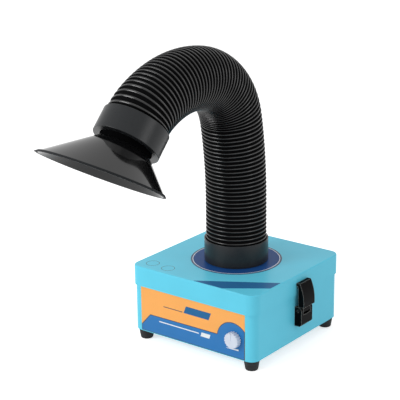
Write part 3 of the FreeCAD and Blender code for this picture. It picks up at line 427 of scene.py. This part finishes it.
def soften(piece, width, steps):
    """Round the sharp edges of a piece."""
    bevel = piece.modifiers.new("Edges", "BEVEL")
    bevel.width = width * MM
    bevel.segments = steps
    bevel.limit_method = "ANGLE"
    bevel.angle_limit = ROUNDING_ANGLE
    bevel.harden_normals = True


# Hose
def point_on_hose(distance):
    """Place and heading on the centre line, which stays in the YZ plane and turns to -Y."""
    y, z, heading = 0.0, hose_start, 0.0
    for length, radius, turn in hose_runs:
        step = min(distance, length)
        if radius:
            angle = turn * step / length
            y += radius * (math.cos(heading + angle) - math.cos(heading))
            z += radius * (math.sin(heading + angle) - math.sin(heading))
            heading += angle
        else:
            y -= step * math.sin(heading)
            z += step * math.cos(heading)
        distance -= step
    return Vector((0, y, z)), heading


def ring_on_hose(distance, radius):
    centre, heading = point_on_hose(distance)
    side = X_AXIS * radius
    across = Vector((0, math.cos(heading), math.sin(heading))) * radius
    return [centre + side * math.cos(angle) + across * math.sin(angle) for angle in turns(HOSE_SIDES)]


def rib_radius(share):
    """The outside radius along one rib: a rounded crest with a plain groove after it."""
    off = abs(share - RIB_MIDDLE) / RIB_HALF
    if off >= 1:
        return HOSE_ROOT
    return HOSE_ROOT + (HOSE_CREST - HOSE_ROOT) * math.cos(off * math.pi / 2) ** RIB_ROUNDNESS


def groove_shade_rows(ribs):
    """The rows of faces that lie deeper than the shining crests, which get a matte surface as painted shade."""
    rows = set()
    for step in range(ribs * RIB_STEPS):
        middle = (step % RIB_STEPS + 1 / 2) / RIB_STEPS
        if rib_radius(middle) < HOSE_CREST - SHINE_DEPTH:
            rows.add(step + 1)
    return rows


def hose_rings(length, ribs, pitch):
    """Rings along the ribbed outside from the lower end, and back through the bore."""
    rings = [ring_on_hose(0, HOSE_ROOT)]
    for rib in range(ribs):
        for step in range(RIB_STEPS):
            share = step / RIB_STEPS
            rings.append(ring_on_hose(HOSE_INSERT + (rib + share) * pitch, rib_radius(share)))
    rings.append(ring_on_hose(length, HOSE_ROOT))
    for step in range(BORE_RINGS, -1, -1):
        rings.append(ring_on_hose(length * step / BORE_RINGS, HOSE_BORE))
    return rings


def make_hose():
    length = sum(run[0] for run in hose_runs)
    visible = length - HOSE_INSERT * 2
    ribs = round(visible / RIB_PITCH)
    rings = hose_rings(length, ribs, visible / ribs)
    vertices = [point for ring in rings for point in ring]
    faces = tube_faces(len(rings), HOSE_SIDES)
    hose = new_piece("ribbed_hose", vertices, faces, "hose_plastic",
                     smooth_under=HOSE_SMOOTH)
    # The grooves get painted shade: a matte surface with almost no shine
    paint_rows(hose, HOSE_SIDES, groove_shade_rows(ribs), "hose_groove_painted_shade")
    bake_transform(hose)
    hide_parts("hose")


# Cuffs: a closed outline of (radius, distance) points turned about an axis
def axis_place(joint, reverse=False):
    """A frame in millimetres at a joint, with its Z axis along the joint's axis."""
    axis = Vector(joint["axis"]) * (-1 if reverse else 1)
    up = axis.cross(X_AXIS)
    turn = Matrix((X_AXIS, up, axis)).transposed().to_4x4()
    return Matrix.Translation(Vector(joint["pos_m"]) / MM) @ turn


def on_turn(radius, angle, along):
    """A point of an outline, turned about the axis by an angle."""
    return Vector((radius * math.cos(angle), radius * math.sin(angle), along))


def cuff_outline():
    skirt_in = CUFF_RADIUS - CUFF_WALL
    return [
        (SLEEVE_IN, 0), (CUFF_RADIUS, 0), (CUFF_RADIUS, CUFF_LENGTH), (skirt_in, CUFF_LENGTH),
        (skirt_in, CUFF_END_WALL), (SLEEVE_OUT, CUFF_END_WALL), (SLEEVE_OUT, SLEEVE_LENGTH),
        (SLEEVE_IN, SLEEVE_LENGTH),
    ]


def make_cuff(name, node, body, place):
    outline = cuff_outline()
    vertices = [place @ on_turn(radius, angle, along)
                for radius, along in outline for angle in turns(CUFF_SIDES)]
    faces = tube_faces(len(outline), CUFF_SIDES)
    cuff = new_piece(name, vertices, faces, "black_plastic", body)
    soften(cuff, CUFF_ROUNDING, CUFF_ROUNDING_STEPS)
    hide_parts(node)


def make_cuffs():
    make_cuff("cuff_lower", "hose_cuff_base", "hose_base", axis_place(joints["hose_swivel"]))
    make_cuff("cuff_upper", "hose_cuff_end", "hose_end", axis_place(joints["hood_swivel"], reverse=True))


# Hood: each side's outline ends on the tilted mouth
def cone_at_mouth(shift, depth, lean):
    """Radius and distance where the cone, moved out by a shift, ends at a depth inside the mouth."""
    start = SHOULDER_RADIUS + shift - NECK_LENGTH * HOOD_SLOPE
    level = MOUTH_DISTANCE - depth * math.hypot(1, MOUTH_TILT)
    radius = (start + level * HOOD_SLOPE) / (1 - HOOD_SLOPE * MOUTH_TILT * lean)
    return radius, level + radius * MOUTH_TILT * lean


def hood_outline(lean):
    inner_start = SHOULDER_RADIUS + HOOD_WALL * (HOOD_SLOPE - 1)
    return [
        (NECK_IN, -NECK_INSERT), (NECK_OUT, -NECK_INSERT), (NECK_OUT, NECK_LENGTH),
        (SHOULDER_RADIUS, NECK_LENGTH),
        cone_at_mouth(0, HOOD_LIP_HEIGHT, lean), cone_at_mouth(HOOD_LIP, HOOD_LIP_HEIGHT, lean),
        cone_at_mouth(HOOD_LIP, 0, lean), cone_at_mouth(-HOOD_WALL, 0, lean),
        (inner_start, NECK_LENGTH + HOOD_WALL), (NECK_IN, NECK_LENGTH + HOOD_WALL),
    ]


def hood_column(angle):
    """The points of the hood's outline on one side."""
    outline = hood_outline(math.sin(angle - HOOD_TURN))
    return [on_turn(radius, angle, along) for radius, along in outline]


def make_hood():
    place = axis_place(joints["hood_swivel"])
    columns = [hood_column(angle) for angle in turns(HOOD_SIDES)]
    rings = len(columns[0])
    vertices = [place @ column[ring] for ring in range(rings) for column in columns]
    faces = tube_faces(rings, HOOD_SIDES)
    hood = new_piece("hood_cone", vertices, faces, "hood_black", "hood", HOOD_SMOOTH)
    # Painted shade on the neck and the rim, painted light on the inside
    paint_rows(hood, HOOD_SIDES, NECK_ROWS, "neck_painted_shade")
    paint_rows(hood, HOOD_SIDES, RIM_ROWS, "hood_rim_painted_shade")
    paint_rows(hood, HOOD_SIDES, INSIDE_ROWS, "hood_inside_painted_light")
    soften(hood, HOOD_ROUNDING, HOOD_ROUNDING_STEPS)
    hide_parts("hood")


# Prints: thin layers on the labels and the lid
def circle(x, y, radius, sides):
    return [(x + radius * math.cos(angle), y + radius * math.sin(angle)) for angle in turns(sides)]


def front_point(x, z, lift):
    return (x, front_face - lift, z)


def top_point(x, y, lift):
    return (x, y, top_face + lift)


def make_front_print(name, loops, lift, paint_name):
    """A thin layer on the front label, from an outline and any hole in it."""
    flat = [point for loop in loops for point in loop]
    count = len(flat)
    vertices = [front_point(x, z, 0) for x, z in flat] + [front_point(x, z, lift) for x, z in flat]
    triangles = tessellate_polygon([[Vector((x, z, 0)) for x, z in loop] for loop in loops])
    faces = [tuple(triangle) for triangle in triangles]
    faces += [tuple(index + count for index in triangle) for triangle in triangles]
    start = 0
    for loop in loops:
        for index in range(len(loop)):
            here, beside = start + index, start + (index + 1) % len(loop)
            faces.append((here, beside, beside + count, here + count))
        start += len(loop)
    new_piece(name, vertices, faces, paint_name, "housing")


def make_ring_print(name, centre, inner, outer, low, paint_name, sides):
    """A thin ring that lies at a height above the lid: none, or that of the label at the inlet."""
    high = low + FIRST_LAYER
    corners = ((inner, low), (outer, low), (outer, high), (inner, high))
    vertices = [top_point(x, y, lift)
                for radius, lift in corners for x, y in circle(*centre, radius, sides)]
    faces = tube_faces(len(corners), sides)
    new_piece(name, vertices, faces, paint_name, "housing")


def banner_outline(shrink):
    """The blue field: a cut upper left corner, a straight top and a round bump over the knob."""
    left, right, bottom = label_left + shrink, label_right - shrink, label_foot + shrink
    radius = BUMP_RADIUS - shrink
    meet = math.asin((BANNER_RIGHT_Z - shrink - BUMP_Z) / radius)
    leave = math.acos((right - BUMP_X) / radius)
    bump = []
    for step in range(BUMP_STEPS + 1):
        angle = math.pi - meet + (leave - math.pi + meet) * step / BUMP_STEPS
        bump.append((BUMP_X + radius * math.cos(angle), BUMP_Z + radius * math.sin(angle)))
    shoulder = (BANNER_SHOULDER_X + shrink / 2, BANNER_SHOULDER_Z - shrink)
    return [(left, bottom), (left, BANNER_LEFT_TOP - shrink), shoulder, *bump, (right, bottom)]


def slanted(left, right, low, high, slant):
    """A bar whose top is shifted to the right of its foot."""
    return [(left, low), (right, low), (right + slant, high), (left + slant, high)]


def dial_wedge():
    """A wedge under the knob, thin at the slow end and thick at the fast end."""
    left, right, foot = knob.x + WEDGE_LEFT, knob.x + WEDGE_RIGHT, knob.z - WEDGE_DROP
    return [(left, foot), (right, foot), (right, foot + WEDGE_THICK), (left, foot + WEDGE_THIN)]


def make_front_prints():
    # The hole behind the knob is where the shaft comes through and its nut sits on the label
    hole = circle(knob.x, knob.z, DIAL_HOLE, DIAL_SIDES)
    plate = slanted(PLATE_LEFT, PLATE_RIGHT, PLATE_LOW, PLATE_HIGH, PLATE_SLANT)
    rule = slanted(RULE_LEFT, RULE_RIGHT, RULE_Z, RULE_Z + RULE_WIDTH, 0)
    stripe = slanted(STRIPE_LEFT, STRIPE_RIGHT, STRIPE_Z, STRIPE_Z + STRIPE_WIDTH, 0)
    tag = slanted(TAG_LEFT, TAG_RIGHT, TAG_LOW, TAG_HIGH, TAG_SLANT)
    make_front_print("print_banner_line", [banner_outline(0), hole], FIRST_LAYER, "print_dark")
    make_front_print("print_banner", [banner_outline(BANNER_LINE), hole], SECOND_LAYER, "label_blue")
    make_front_print("print_plate", [plate], FIRST_LAYER, "band_blue")
    make_front_print("print_rule", [rule], FIRST_LAYER, "print_dark")
    make_front_print("print_stripe", [stripe], THIRD_LAYER, "print_white")
    make_front_print("print_tag", [tag], THIRD_LAYER, "print_white")
    make_front_print("print_wedge", [dial_wedge()], THIRD_LAYER, "print_white")


def make_lid_prints():
    inlet = (0, 0)
    make_ring_print("print_inlet_border", inlet, BORDER_IN, BORDER_OUT, label_lift, "print_dark",
                    INLET_SIDES)
    make_ring_print("print_inlet_line", inlet, LINE_IN, LINE_OUT, label_lift, "print_white", INLET_SIDES)
    mark_in = MARK_RADIUS - MARK_LINE
    for index, centre in enumerate(MARKS):
        make_ring_print(f"print_mark_{index}", centre, mark_in, MARK_RADIUS, 0, "print_dark", MARK_SIDES)


# Stage, light and camera
def seen_directly(tree):
    """1 where the camera, a reflection or a see-through surface looks, 0 for light on the object."""
    path = tree.nodes.new("ShaderNodeLightPath")
    total = path.outputs["Is Camera Ray"]
    for other in ("Is Glossy Ray", "Is Transmission Ray"):
        add = tree.nodes.new("ShaderNodeMath")
        add.operation = "ADD"
        add.use_clamp = True
        tree.links.new(total, add.inputs[0])
        tree.links.new(path.outputs[other], add.inputs[1])
        total = add.outputs["Value"]
    return total


def floor_material():
    """A matte floor that keeps its shadows, with a glow that only direct looks see."""
    material = bpy.data.materials.new("floor_white")
    material.use_nodes = True
    tree = material.node_tree
    tree.nodes.clear()
    matte = tree.nodes.new("ShaderNodeBsdfDiffuse")
    matte.inputs["Color"].default_value = FLOOR_GREY
    glow = tree.nodes.new("ShaderNodeEmission")
    level = tree.nodes.new("ShaderNodeMath")
    level.operation = "MULTIPLY"
    level.inputs[1].default_value = FLOOR_GLOW
    both = tree.nodes.new("ShaderNodeAddShader")
    out = tree.nodes.new("ShaderNodeOutputMaterial")
    tree.links.new(seen_directly(tree), level.inputs[0])
    tree.links.new(level.outputs["Value"], glow.inputs["Strength"])
    tree.links.new(matte.outputs["BSDF"], both.inputs[0])
    tree.links.new(glow.outputs["Emission"], both.inputs[1])
    tree.links.new(both.outputs["Shader"], out.inputs["Surface"])
    return material


def make_floor():
    mesh = bpy.data.meshes.new("floor")
    corners = [(-FLOOR_HALF, -FLOOR_HALF, 0), (FLOOR_HALF, -FLOOR_HALF, 0),
               (FLOOR_HALF, FLOOR_HALF, 0), (-FLOOR_HALF, FLOOR_HALF, 0)]
    mesh.from_pydata(corners, [], [tuple(range(len(corners)))])
    mesh.materials.append(floor_material())
    floor = bpy.data.objects.new("floor", mesh)
    bpy.context.scene.collection.objects.link(floor)


def make_world():
    world = bpy.data.worlds.new("studio")
    world.use_nodes = True
    tree = world.node_tree
    background = tree.nodes["Background"]
    background.inputs["Color"].default_value = WHITE_LIGHT
    limits = tree.nodes.new("ShaderNodeMapRange")
    limits.inputs["To Min"].default_value = WORLD_LIGHT
    limits.inputs["To Max"].default_value = 1.0
    tree.links.new(seen_directly(tree), limits.inputs["Value"])
    tree.links.new(limits.outputs["Result"], background.inputs["Strength"])
    bpy.context.scene.world = world


def make_lamp(name, place, size, watts):
    lamp = bpy.data.lights.new(name, "AREA")
    lamp.shape = "RECTANGLE"
    lamp.size, lamp.size_y = size
    lamp.energy = watts
    holder = bpy.data.objects.new(name, lamp)
    holder.location = place
    holder.rotation_mode = "QUATERNION"
    holder.rotation_quaternion = (Vector(LAMP_TARGET) - Vector(place)).to_track_quat("-Z", "Y")
    bpy.context.scene.collection.objects.link(holder)


def make_camera():
    level = math.cos(CAMERA_ELEVATION)
    back = Vector((math.sin(CAMERA_AZIMUTH) * level, -math.cos(CAMERA_AZIMUTH) * level,
                   math.sin(CAMERA_ELEVATION)))
    right = Vector((math.cos(CAMERA_AZIMUTH), math.sin(CAMERA_AZIMUTH), 0))
    up = back.cross(right)
    tilted_right = right * math.cos(CAMERA_ROLL) + up * math.sin(CAMERA_ROLL)
    tilted_up = up * math.cos(CAMERA_ROLL) - right * math.sin(CAMERA_ROLL)
    camera = bpy.data.objects.new("camera", bpy.data.cameras.new("camera"))
    camera.data.lens = CAMERA_LENS
    camera.data.sensor_width = CAMERA_SENSOR
    camera.data.clip_end = CAMERA_REACH
    turn = Matrix((tilted_right, tilted_up, back)).transposed().to_4x4()
    camera.matrix_world = Matrix.Translation(CAMERA_EYE) @ turn
    bpy.context.scene.collection.objects.link(camera)
    bpy.context.scene.camera = camera


paint_solids()
make_hose()
make_cuffs()
make_hood()
make_front_prints()
make_lid_prints()
make_floor()
make_world()
for lamp_row in LAMPS:
    make_lamp(*lamp_row)
make_camera()
bpy.context.scene.view_settings.view_transform = "Standard"
